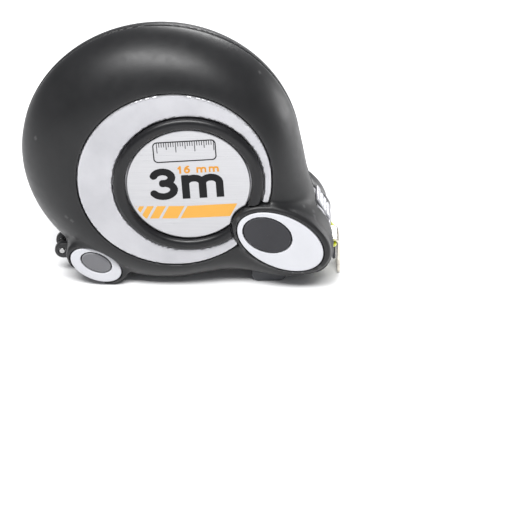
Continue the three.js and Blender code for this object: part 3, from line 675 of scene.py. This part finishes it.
LOOKS = {
    "rubber": soft_rubber(),
    "silver": moulded(
        "satin_silver_paint", (0.42, 0.42, 0.44), (0.50, 0.50, 0.52), (0.32, 0.42),
        grain_mm=0.07, grain=0.18, worn=(0.58, 0.58, 0.60), Metallic=0.7,
    ),
    "inlay": moulded(
        "satin_white_silver", (0.50, 0.505, 0.53), (0.55, 0.555, 0.58), (0.38, 0.48),
        grain_mm=0.09, grain=0.12, worn=(0.60, 0.60, 0.63), Metallic=0.1,
    ),
    "dot": moulded(
        "matte_grey_print", (0.026, 0.026, 0.029), (0.033, 0.033, 0.037), (0.50, 0.60),
        grain_mm=0.09, grain=0.15, worn=(0.05, 0.05, 0.056), Specular_IOR_Level=0.25,
    ),
    "tail_dot": moulded(
        "matte_mid_grey_print", (0.12, 0.12, 0.128), (0.145, 0.145, 0.153), (0.48, 0.58),
        grain_mm=0.09, grain=0.15, worn=(0.25, 0.25, 0.26),
    ),
    "ring": moulded(
        "satin_black_ring", (0.006, 0.006, 0.007), (0.009, 0.009, 0.010), (0.28, 0.36), grain=0.08,
        Specular_IOR_Level=0.33,
    ),
    "label": brushed(
        "brushed_silver_label", (0.46, 0.46, 0.475), (0.54, 0.54, 0.55), (0.27, 0.35),
        along=(0.02, 1, 1), turn=(0, math.radians(-3.3), 0), grain=0.12, scratched=0.0, Metallic=0.9,
    ),
    "clip": brushed(
        "bright_nickel_clip", (0.70, 0.665, 0.60), (0.80, 0.765, 0.695), (0.10, 0.18),
        along=(1, 1, 0.03), grain=0.05, Metallic=1.0,
    ),
    "screw": brushed(
        "nickel_screw", (0.50, 0.475, 0.43), (0.66, 0.63, 0.58), (0.20, 0.32), grain=0.12, Metallic=1.0,
    ),
    "hook": brushed(
        "nickel_hook", (0.62, 0.59, 0.52), (0.74, 0.70, 0.62), (0.22, 0.34),
        along=(1, 0.05, 1), grain=0.12, Metallic=1.0,
    ),
    "steel": brushed(
        "turned_steel", (0.40, 0.40, 0.40), (0.56, 0.56, 0.55), (0.28, 0.4),
        along=(1, 0.05, 1), Metallic=1.0,
    ),
    "spring": brushed(
        "blued_spring_steel", (0.12, 0.14, 0.20), (0.26, 0.29, 0.36), (0.25, 0.4),
        along=(1, 0.05, 1), Metallic=1.0,
    ),
    "blade": moulded(
        "yellow_lacquer", (0.47, 0.53, 0.012), (0.57, 0.62, 0.02), (0.28, 0.38),
        grain_mm=0.3, grain=0.08, worn=(0.62, 0.62, 0.12), Coat_Weight=0.4, Coat_Roughness=0.2,
    ),
    "coil": moulded(
        "wound_yellow_lacquer", (0.38, 0.42, 0.012), (0.50, 0.55, 0.02), (0.3, 0.42), grain_mm=0.2, grain=0.2
    ),
    "spool": moulded("grey_reel_plastic", (0.24, 0.25, 0.26), (0.31, 0.32, 0.33), (0.42, 0.55)),
    "black": moulded("black_moulded_plastic", (0.010, 0.010, 0.011), (0.017, 0.017, 0.018), (0.38, 0.52)),
    "bumper": moulded("dark_grey_rubber", (0.035, 0.037, 0.042), (0.05, 0.052, 0.058), (0.5, 0.62)),
    "black_ink": moulded(
        "black_ink", (0.008, 0.008, 0.009), (0.012, 0.012, 0.013), (0.40, 0.50), grain=0.1,
        Specular_IOR_Level=0.12,
    ),
    "orange_ink": moulded(
        "orange_ink", (0.50, 0.21, 0.022), (0.57, 0.25, 0.03), (0.38, 0.48), grain=0.1,
        worn=(0.62, 0.32, 0.06), Specular_IOR_Level=0.2,
    ),
}


# ---- case, ring, label and eyes
def dot_hole(at):
    return lambda x, z: ellipse(x, z, at, GAP / 2)


def tail_screw_hole(x, z):
    at = SCREWS["tail_screw"]
    return circle(x, z, at["x"], at["z"], at["bore"])


def inlaid(name, at, boss_at, hole, node, look, place):
    """A plate let into a boss."""
    reach = at["a"] + 0.4
    low = (at["x"] - reach, boss_at["top"] - INLAY_DEPTH, at["z"] - reach)
    high = (at["x"] + reach, boss_at["top"] + 0.2, at["z"] + reach)
    carved(name, plate_field(at, boss_at, hole), low, high, INLAY_GRID, node, "case", look, place)


HALF_LOW, HALF_HIGH = (-41.0, -0.3, -31.5), (35.8, 13.6, 36.5)

for word, side in (("front", -1), ("back", 1)):
    place = mirrored(side)
    carved(f"{word}_moulded_skin", rubber_field(side), HALF_LOW, HALF_HIGH, CASE_GRID,
           f"{word}_rubber_skin", "case", "rubber", place)
    carved(f"{word}_silver_shell", case_field(side), HALF_LOW, HALF_HIGH, CASE_GRID,
           f"{word}_case", "case", "silver", place)
    carved(f"{word}_half_round_ring", ring_field(side), (-18, 10.8, -18), (18, 13.1, 18), FACE_GRID,
           f"{word}_bezel_ring", "case", "ring", place)
    carved(f"{word}_label_plate", label_field(side), (-14.8, 10.8, -14.8), (14.8, 12, 14.8), FACE_GRID,
           f"{word}_label_disc", "case", "label", place)

    inlaid(f"{word}_nose_eye", NOSE_EYE, NOSE_BOSS, dot_hole(NOSE_DOT),
           f"{word}_nose_inlay", "inlay", place)
    inlaid(f"{word}_nose_pupil", NOSE_DOT, NOSE_BOSS, None, f"{word}_nose_dot", "dot", place)
    inlaid(f"{word}_tail_eye", TAIL_EYE, TAIL_BOSS, dot_hole(TAIL_DOT) if side < 0 else tail_screw_hole,
           f"{word}_tail_inlay", "inlay", place)

inlaid("front_tail_pupil", TAIL_DOT, TAIL_BOSS, None, "front_tail_dot", "tail_dot", mirrored(-1))

# ---- print on the front label
LABEL_TURN = math.radians(3.3)
INK = 0.04
FIGURE_GRID = (0.09, INK / 2, 0.09)


def on_label(u, v, lift):
    """Points on the front label, from across and up its print and the height above its face."""
    x, z = rotated(u, v, LABEL_TURN)
    return np.stack([x, np.full_like(u, -LABEL["top"]) - lift, z], 1)


def on_print(name, points, faces, look):
    """Ink on the label, from points across, up and out of its print."""
    return make_piece(name, on_label(*points), faces, "case", look, smooth_angle=20)


def printed(name, outlines, look):
    """Filled outlines: each is a closed loop of [across, up] points, and holes are loops inside others."""
    curve = bpy.data.curves.new(name, "CURVE")
    curve.dimensions = "2D"
    curve.fill_mode = "BOTH"
    curve.extrude = INK / 2
    for outline in outlines:
        line = curve.splines.new("POLY")
        line.points.add(len(outline) - 1)
        line.use_cyclic_u = True
        for point, (u, v) in zip(line.points, outline):
            point.co = (u, v, 0, 1)
    shape = bpy.data.objects.new(name, curve)
    add_to_scene(shape)
    flat = shape.evaluated_get(bpy.context.evaluated_depsgraph_get()).to_mesh()
    u, v, w = np.array([vertex.co for vertex in flat.vertices]).T
    faces = [tuple(face.vertices) for face in flat.polygons]
    bpy.data.objects.remove(shape)
    bpy.data.curves.remove(curve)
    return on_print(name, (u, v, w + INK / 2), faces, look)


def arc(middle, radii, start, end, steps=18):
    turns = np.radians(np.linspace(start, end, steps))
    return [(middle[0] + radii[0] * math.cos(a), middle[1] + radii[1] * math.sin(a)) for a in turns]


STEM_END = -0.4  # below the foot of a figure, where its stems are cut off level
FIGURES = {
    "1": [[(0.0, 0.72), (0.7, 1.0), (0.7, STEM_END)]],
    "3": [arc((0.47, 0.76), (0.45, 0.24), 160, -90), arc((0.47, 0.27), (0.53, 0.27), 90, -152)],
    "6": [arc((0.5, 0.31), (0.5, 0.31), 0, 360, 30), arc((0.95, 0.31), (0.95, 0.69), 95, 180)],
    "m": [
        [(0, 1.1), (0, STEM_END)],
        arc((0.25, 0.68), (0.25, 0.32), 180, 0) + [(0.5, STEM_END)],
        arc((0.75, 0.68), (0.25, 0.32), 180, 0) + [(1, STEM_END)],
    ],
}


def from_line(u, v, line):
    """Distance from the nearest stretch of a line through points."""
    nearest = FAR
    for (u0, v0), (u1, v1) in zip(line, line[1:]):
        long_u, long_v = u1 - u0, v1 - v0
        t = np.clip(((u - u0) * long_u + (v - v0) * long_v) / (long_u**2 + long_v**2), 0, 1)
        nearest = np.minimum(nearest, np.hypot(u - u0 - t * long_u, v - v0 - t * long_v))
    return nearest


def figures_field(figures, half):
    """Figures drawn with a stroke of the given half width: each is its name and its box on the label."""

    def field(u, w, v):
        drawn = FAR
        for figure, (low_u, low_v, high_u, high_v) in figures:
            wide, high = high_u - low_u - 2 * half, high_v - low_v - 2 * half
            for line in FIGURES[figure]:
                placed = [(low_u + half + wide * a, low_v + half + high * b) for a, b in line]
                stroke = from_line(u, v, placed) - half
                drawn = np.minimum(drawn, meet(stroke, between(v, low_v, high_v)))
        return meet(drawn, between(w, 0, INK))

    return field


def lettered(name, figures, half, look):
    """Plain figures printed on the label."""
    lows, highs = np.min([box[:2] for _, box in figures], 0), np.max([box[2:] for _, box in figures], 0)
    low, high = (lows[0] - 0.2, -INK, lows[1] - 0.2), (highs[0] + 0.2, 2 * INK, highs[1] + 0.2)
    points, faces = surface(figures_field(figures, half), low, high, FIGURE_GRID)
    across, lift, up = points.T
    return on_print(name, (across, up, lift), faces[:, ::-1], look)


def rounded_loop(low_u, low_v, high_u, high_v, r, steps=8):
    loop = []
    left, right, bottom, top = low_u + r, high_u - r, low_v + r, high_v - r
    for quarter, (u, v) in enumerate(((right, top), (left, top), (left, bottom), (right, bottom))):
        for i in range(steps + 1):
            turn = (quarter + i / steps) * math.pi / 2
            loop.append((u + r * math.cos(turn), v + r * math.sin(turn)))
    return loop


def slanted_bar(left, right, top=-5.7, bottom=-9.05, slant=1.9, margin=0.5):
    """A bar that leans, trimmed to the label's round edge, and level to the left of the label's middle."""
    edge = LABEL["r"] - margin
    rows = np.linspace(top, bottom, 25)
    shift = slant * (top - rows) / (top - bottom)
    lefts = np.maximum(left - shift, -np.sqrt(edge**2 - rows**2))
    rights = right - shift
    kept = rights - lefts > 0.05
    lefts, rights, rows = lefts[kept], rights[kept], rows[kept]
    ends = [*zip(lefts, rows), *zip(rights[::-1], rows[::-1])]
    return [(u, v - min(u, 0) * math.tan(LABEL_TURN)) for u, v in ends]


BARS = ((-14.5, -12.5), (-11.9, -10.8), (-10.1, -8.5), (-7.8, -5.7), (-5.0, -1.3), (-0.65, 11.1))
printed("label_orange_bars", [slanted_bar(*ends) for ends in BARS], "orange_ink")
LENGTH_STROKE, WIDTH_STROKE = 0.92, 0.25
LENGTH_FIGURES = [("3", (-9.1, -3.7, -2.5, 4.8)), ("m", (-1.6, -3.7, 8.2, 2.7))]
lettered("label_length_mark", LENGTH_FIGURES, LENGTH_STROKE, "black_ink")
WIDTH_FIGURES = [
    ("1", (-2.3, 3.1, -1.2, 5.2)), ("6", (-0.8, 3.1, 0.7, 5.2)),
    ("m", (2.1, 3.1, 4.5, 4.65)), ("m", (5.0, 3.1, 7.4, 4.65)),
]
lettered("label_width_mark", WIDTH_FIGURES, WIDTH_STROKE, "orange_ink")
RULER = (-7.6, 6.3, 7.1, 11.75)
RULER_LINE = 0.28
RULER_CORNER = 1.1
TICK_PITCH = 0.55
TICK_HALF = 0.09
FIRST_TICK = -6.6
TICKS = 25
TALL, MIDDLING, SHORT = 2.6, 1.8, 1.1
inner_box = (RULER[0] + RULER_LINE, RULER[1] + RULER_LINE, RULER[2] - RULER_LINE, RULER[3] - RULER_LINE)
ruler_loops = [rounded_loop(*RULER, RULER_CORNER), rounded_loop(*inner_box, RULER_CORNER - 0.25)]
printed("label_ruler_frame", ruler_loops, "black_ink")
ruler_ticks = []
for i in range(TICKS):
    middle, top = FIRST_TICK + TICK_PITCH * i, inner_box[3]
    tall = TALL if i % 8 == 0 else MIDDLING if i % 4 == 0 else SHORT
    left, right = middle - TICK_HALF, middle + TICK_HALF
    ruler_ticks.append([(left, top), (left, top - tall), (right, top - tall), (right, top)])
printed("label_ruler_ticks", ruler_ticks, "black_ink")


# ---- screws
def pan_head(name, at, place):
    reach, length = at["headR"] + 0.2, at["length"]
    low, high = (-reach, -length - 0.2, -reach), (reach, 1.8, reach)
    carved(f"{name}_pan_head", screw_field(at["headR"], length), low, high, SMALL_GRID,
           name, "case", "screw", place)


for name, at in SCREWS.items():
    pan_head(name, at, shifted(at["x"], at["head"] + SCREW["seat"], at["z"]))

# ---- small moulded pieces
x0, x1 = LUG["x"] - 0.3, LUG["end"] + 0.3
carved("strap_lug_fork", lug_field, (x0, -3.5, -25.6), (x1, 3.5, -20.8), 0.2,
       "strap_lug", "case", "black")
x0, x1 = LUG_PIN["x"] - 1, LUG_PIN["x"] + 1
carved("strap_pin_rod", pin_field, (x0, -3.4, -24.2), (x1, 3.4, -22.2), FINE_GRID,
       "strap_pin", "case", "steel")
carved("stand_foot_block", foot_field, (14.5, -7.5, GROUND - 0.2), (23.5, 7.5, -26.2), 0.25,
       "stand_foot", "case", "bumper")
carved("hook_bumper_pad", bumper_field, (34.3, -3.3, -26.6), (35.6, 3.3, -21.8), FINE_GRID,
       "hook_bumper", "case", "bumper")


def down_track(points):
    s, y, out = points.T
    dx, dz = LOCK["along"]
    return np.stack([LOCK["x"] + s * dx - out * dz, y, LOCK["z"] + s * dz + out * dx], 1), False


carved("lock_slider_thumb_pad", slider_field, (-3.6, -3.6, -3.6), (3.6, 3.6, 1.3), SMALL_GRID,
       "lock_slider", "lock", "silver", down_track)


# ---- sheet metal
def unit(v):
    return v / np.linalg.norm(v)


def rounded_path(points, radii, steps=10):
    """A path along the points, with its inner corners rounded."""
    path = [np.array(points[0], float)]
    for before, corner, after, r in zip(points, points[1:], points[2:], radii):
        corner = np.array(corner, float)
        back, ahead = unit(np.array(before) - corner), unit(np.array(after) - corner)
        half = math.acos(np.clip(back @ ahead, -1, 1)) / 2
        reach = r / math.tan(half)
        middle = corner + unit(back + ahead) * r / math.sin(half)
        start, end = corner + back * reach - middle, corner + ahead * reach - middle
        for t in np.linspace(0, 1, steps):
            spot = start * (1 - t) + end * t
            path.append(middle + unit(spot) * r)
    return np.array(path + [np.array(points[-1], float)])


def lengths_along(path):
    return np.concatenate([[0], np.cumsum(np.linalg.norm(np.diff(path, axis=0), axis=1))])


def along_path(path, distance, offset):
    """Points at a distance along a path and an offset to its left."""
    lengths = lengths_along(path)
    dense = np.linspace(0, lengths[-1], 600)
    spots = np.stack([np.interp(dense, lengths, path[:, i]) for i in (0, 1)], 1)
    heading = np.gradient(spots, dense, axis=0)
    heading /= np.linalg.norm(heading, axis=1)[:, None]
    at = [np.interp(distance, dense, spots[:, i]) for i in (0, 1)]
    way = [np.interp(distance, dense, heading[:, i]) for i in (0, 1)]
    return at[0] - way[1] * offset, at[1] + way[0] * offset


def out_of_clip(u, y, v):
    """From across, out and up the belt clip to the reel's frame."""
    x, z = rotated(u, v, math.radians(CLIP_AT["turn"]))
    return np.stack([CLIP_AT["x"] + x, y, CLIP_AT["z"] + z], 1)


LEAF_BENDS = (2.0, 1.1)
sheet = CLIP["sheet"]
fold_turns = np.linspace(math.pi, 0, 40)
middle_r = FOLD_R - sheet / 2
fold_z = FOLD["z"] - CLIP_AT["z"]
fold_arc = [(FOLD["y"] + middle_r * math.cos(a), fold_z + middle_r * math.sin(a)) for a in fold_turns]
leaf_corners = [
    fold_arc[-1],
    (CLIP_LEAF["topY"] - sheet / 2, fold_z - 1),
    (CLIP_LEAF["bendY"] - sheet / 2, CLIP["bend"] - CLIP_AT["z"]),
    (CLIP_LEAF["tipY"] - sheet / 2, CLIP["tip"] - CLIP_AT["z"]),
]
LEAF_PATH = np.concatenate([np.array(fold_arc[:-1]), rounded_path(leaf_corners, LEAF_BENDS)])
leaf_lengths = lengths_along(LEAF_PATH)
LEAF_LENGTH = leaf_lengths[-1]


def leaf_distance(z):
    """How far along the leaf its outer side reaches a height."""
    falling = np.argmax(LEAF_PATH[:, 1])
    return np.interp(-z, -LEAF_PATH[falling:, 1], leaf_lengths[falling:])


LEAF_TIP = {"depth": 3.3, "power": 2.2}
LEAF_HOLE = {"u": 6.7, "r": 0.95}
LEAF_MARK = {"u": 6.7, "r": 0.75, "depth": 0.16, "z": -6.4}


def leaf_field(u, w, v):
    """The belt clip's leaf laid out flat: v runs along it from the fold, and w through it."""
    half = CLIP["width"] / 2
    end = LEAF_LENGTH - LEAF_TIP["depth"] * np.abs(u / half) ** LEAF_TIP["power"]
    solid = meet(np.abs(u) - half, (v - end) * 0.9, -v, r=0.5)
    top = leaf_distance(CLIP_SLOT["z"] + CLIP_SLOT["height"] / 2)
    bottom = leaf_distance(CLIP_SLOT["z"] - CLIP_SLOT["height"] / 2)
    slot = meet(np.abs(u) - CLIP_SLOT["width"] / 2, between(v, top, bottom), r=3.2)
    hole_v = leaf_distance(CLIP_SLOT["holeZ"])
    holes = meet(circle(np.abs(u), (v - hole_v) * 1.3, LEAF_HOLE["u"], 0, LEAF_HOLE["r"]), v - hole_v, r=0.1)
    sheet_metal = meet(solid, np.abs(w) - sheet / 2, r=0.1)
    mark_v = leaf_distance(LEAF_MARK["z"])
    round_mark = circle(np.abs(u), v, LEAF_MARK["u"], mark_v, LEAF_MARK["r"])
    marks = meet(round_mark, mark_v - v, sheet / 2 - LEAF_MARK["depth"] - w)
    return cut(sheet_metal, slot, holes, marks, r=0.08)


def bend_leaf(points):
    u, w, v = points.T
    y, z = along_path(LEAF_PATH, v, w)
    return out_of_clip(u, y, z), True


carved("belt_clip_sprung_leaf", leaf_field, (-9.6, -0.5, -0.2), (9.6, 0.5, LEAF_LENGTH + 0.2),
       SHEET_GRID, "belt_clip_leaf", "clip_leaf", "clip", bend_leaf)


def base_field(u, y, v):
    top = fold_z - FLEX_GAP
    flat = meet(np.abs(u) - CLIP["width"] / 2, between(v, CLIP["low"] - CLIP_AT["z"], top), r=0.5)
    leaf = meet(flat, between(y, CLIP_INSIDE, CLIP_INSIDE + sheet), r=0.1)
    return cut(leaf, circle(u, v, 0, 0, SCREW["shank"] + GAP), r=0.1)


carved("belt_clip_fixed_leaf", base_field, (-9.6, CLIP_INSIDE - 0.2, -9.4), (9.6, CLIP_INSIDE + 1, 12),
       SHEET_GRID, "belt_clip_base", "case", "clip",
       lambda points: (out_of_clip(*points.T), False))

clip_screw_y = CLIP_INSIDE + sheet + SCREW["seat"]
pan_head("clip_screw", CLIP_SCREW,
         lambda points: (out_of_clip(points[:, 0], points[:, 1] + clip_screw_y, points[:, 2]), False))


# ---- blade and hook
def cup(y):
    return BLADE["sag"] * (y / BLADE["half"]) ** 2


def blade_field(x, y, w):
    lean = BLADE["lean"]
    trims = (x + np.abs(y) * lean - BLADE["front"] - lean * BLADE["half"] + BLADE["corner"]) / 1.18
    flat = meet(between(x, BLADE["back"], BLADE["front"]), np.abs(y) - BLADE["half"], trims, r=0.3)
    return meet(flat, between(w, 0, BLADE["thickness"]), r=0.06)


def on_blade(points, lift=0.0):
    x, y, w = points.T
    return np.stack([x, y, BLADE["z"] + cup(y) + w + lift], 1), False


carved("blade_strip", blade_field, (-12.2, -8.3, -0.1), (35.8, 8.3, 0.4), (0.5, 0.3, 0.06),
       "blade", "tape", "blade", on_blade)

INK_ON_BLADE = 0.02
MARK_HALF = 0.07
MARK_INSET = 0.35
MARK_LONG, MARK_MIDDLE, MARK_SHORT = 7.0, 4.6, 3.0


def blade_marks():
    """A mark at each millimetre from the hook's face, along both edges of the blade's hollow side."""
    points, faces = [], []
    for i in range(2, int(BLADE["front"] - BLADE["back"])):
        x = HOOK["front"] - i
        long = MARK_LONG if i % 10 == 0 else MARK_MIDDLE if i % 5 == 0 else MARK_SHORT
        for edge in (-1, 1):
            outer = BLADE["half"] - MARK_INSET
            rows = np.linspace(outer, outer - long, 6) * edge
            start = len(points)
            for y in rows:
                points += [(x - MARK_HALF, y, INK_ON_BLADE), (x + MARK_HALF, y, INK_ON_BLADE)]
            for k in range(len(rows) - 1):
                quad = [start + 2 * k, start + 2 * k + 1, start + 2 * k + 3, start + 2 * k + 2]
                faces.append(quad[::-edge])
    solid, sides = thickened(np.array(points), faces, INK_ON_BLADE)
    return on_blade(solid, BLADE["thickness"])[0], sides


def thickened(points, faces, depth):
    """Closed thin plates from single sheets, with their undersides lower by depth."""
    count = len(points)
    under = points - np.array([0, 0, depth])
    closed = [list(f) for f in faces] + [[count + i for i in f[::-1]] for f in faces]
    edges = {(a, b) for f in faces for a, b in zip(f, f[1:] + f[:1])}
    closed += [[b, a, count + a, count + b] for a, b in sorted(edges) if (b, a) not in edges]
    return np.concatenate([points, under]), closed


points, faces = blade_marks()
make_piece("blade_graduations", points, faces, "tape", "black_ink", smooth_angle=20)

hook_low = BLADE["z"] + BLADE["thickness"] + GAP
hook_middle = hook_low + HOOK["sheet"] / 2
tab_x = HOOK["front"] - HOOK["sheet"] / 2
HOOK_PATH = rounded_path([(HOOK["back"], hook_middle), (tab_x, hook_middle), (tab_x, HOOK["tip"])], (0.75,))
HOOK_LENGTH = lengths_along(HOOK_PATH)[-1]
hook_bend = HOOK["front"] - HOOK["back"]


def hook_field(v, y, w):
    """The end hook laid out flat: v runs along it from its back edge, and w through it."""
    widen = smoothstep(v, hook_bend + 3.5, HOOK_LENGTH)
    half = HOOK["width"] / 2 + (HOOK["tipHalf"] - HOOK["width"] / 2) * widen
    flat = meet(between(v, 0, HOOK_LENGTH), np.abs(y) - half, r=0.6)
    plate = meet(flat, np.abs(w) - HOOK["sheet"] / 2, r=0.12)
    hole = RIVET_R + GAP
    slots = []
    for x in RIVETS:
        start, end = x - HOOK["play"] - HOOK["back"], x - HOOK["back"]
        slots.append(np.hypot(v - np.clip(v, start, end), y) - hole)
    return cut(plate, *slots, r=0.08)


def bend_hook(points):
    v, y, w = points.T
    x, z = along_path(HOOK_PATH, v, w)
    cupped = 1 - smoothstep(v, hook_bend - 2.0, hook_bend)
    return np.stack([x, y, z + cup(y) * cupped], 1), False


carved("end_hook_tab", hook_field, (-0.2, -4.3, -0.5), (HOOK_LENGTH + 0.2, 4.3, 0.5), (0.22, 0.22, 0.1),
       "end_hook", "hook", "hook", bend_hook)

for i, x in enumerate(RIVETS):
    carved(f"hook_rivet_{i + 1}_domed", rivet_field, (-1.7, -1.7, -0.2), (1.7, 1.7, 2.0), FINE_GRID,
           f"hook_rivet_{i + 1}", "tape", "hook",
           shifted(x, 0, BLADE["z"] + BLADE["thickness"] + 0.05))

# ---- CAD nodes that keep their shape
KEPT = {
    "spindle": "steel", "power_spring": "spring", "reel_drum": "spool",
    "reel_cover": "spool", "blade_coil": "coil", "lock_wedge": "black",
}
for node, look in KEPT.items():
    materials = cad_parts[node].data.materials
    materials.clear()
    materials.append(LOOKS[look])

# ---- camera, lights and floor
TARGET_MM = (-4.418, -1.25, 29.38)
AZIMUTH, ELEVATION, DISTANCE_MM = 2.2, 29.1, 499
LENS = 146.4
AIM_RIGHT, AIM_DOWN = 0.0429, 0.0475  # how far off the target the camera aims, as parts of its distance
azimuth, elevation = math.radians(AZIMUTH), math.radians(ELEVATION)
level = math.cos(elevation)
back = Vector((math.sin(azimuth) * level, -math.cos(azimuth) * level, math.sin(elevation)))
right = Vector((0, 0, 1)).cross(back).normalized()
up = back.cross(right)
target = Vector(TARGET_MM) * MM
distance = DISTANCE_MM * MM
aim = target + right * AIM_RIGHT * distance - up * AIM_DOWN * distance
camera = bpy.data.objects.new("camera", bpy.data.cameras.new("camera"))
camera.data.lens = LENS
camera.data.sensor_width = 36
camera.data.clip_start = 0.01
camera.location = target + back * distance
camera.rotation_euler = (aim - camera.location).to_track_quat("-Z", "Y").to_euler()
add_to_scene(camera)
bpy.context.scene.camera = camera


def softbox(name, place_mm, aim_mm, size_mm, watts):
    light = bpy.data.lights.new(name, "AREA")
    light.shape = "RECTANGLE"
    light.size, light.size_y = (v * MM for v in size_mm)
    light.energy = watts
    lamp = bpy.data.objects.new(name, light)
    lamp.location = Vector(place_mm) * MM
    lamp.rotation_euler = (Vector(aim_mm) * MM - lamp.location).to_track_quat("-Z", "Y").to_euler()
    add_to_scene(lamp)


SKY = 0.36
softbox("key_light", (-40, -255, 440), (0, 0, 30), (430, 130), 3.8)
softbox("rim_light", (340, 150, 45), (0, 0, 20), (160, 80), 0.35)
softbox("back_light", (120, 400, 320), (60, 60, 0), (260, 200), 1.8)

world = bpy.data.worlds.new("studio")
world.use_nodes = True
background = world.node_tree.nodes["Background"]
background.inputs["Color"].default_value = (0.95, 0.96, 1.0, 1)
background.inputs["Strength"].default_value = SKY
bpy.context.scene.world = world
bpy.context.scene.view_settings.view_transform = "Standard"

floor_mesh = bpy.data.meshes.new("floor")
FLOOR_HALF = 3.0
floor_corners = [(FLOOR_HALF * i, FLOOR_HALF * j, 0) for i, j in ((-1, -1), (1, -1), (1, 1), (-1, 1))]
floor_mesh.from_pydata(floor_corners, [], [(0, 1, 2, 3)])
floor_look = Surface("pale_floor", Roughness=0.7)
tone = floor_look.mixed(floor_look.noise(60, 2), (0.86, 0.86, 0.865), (0.88, 0.88, 0.885))
floor_mesh.materials.append(floor_look.use(Base_Color=tone))
floor = bpy.data.objects.new("floor", floor_mesh)
add_to_scene(floor)
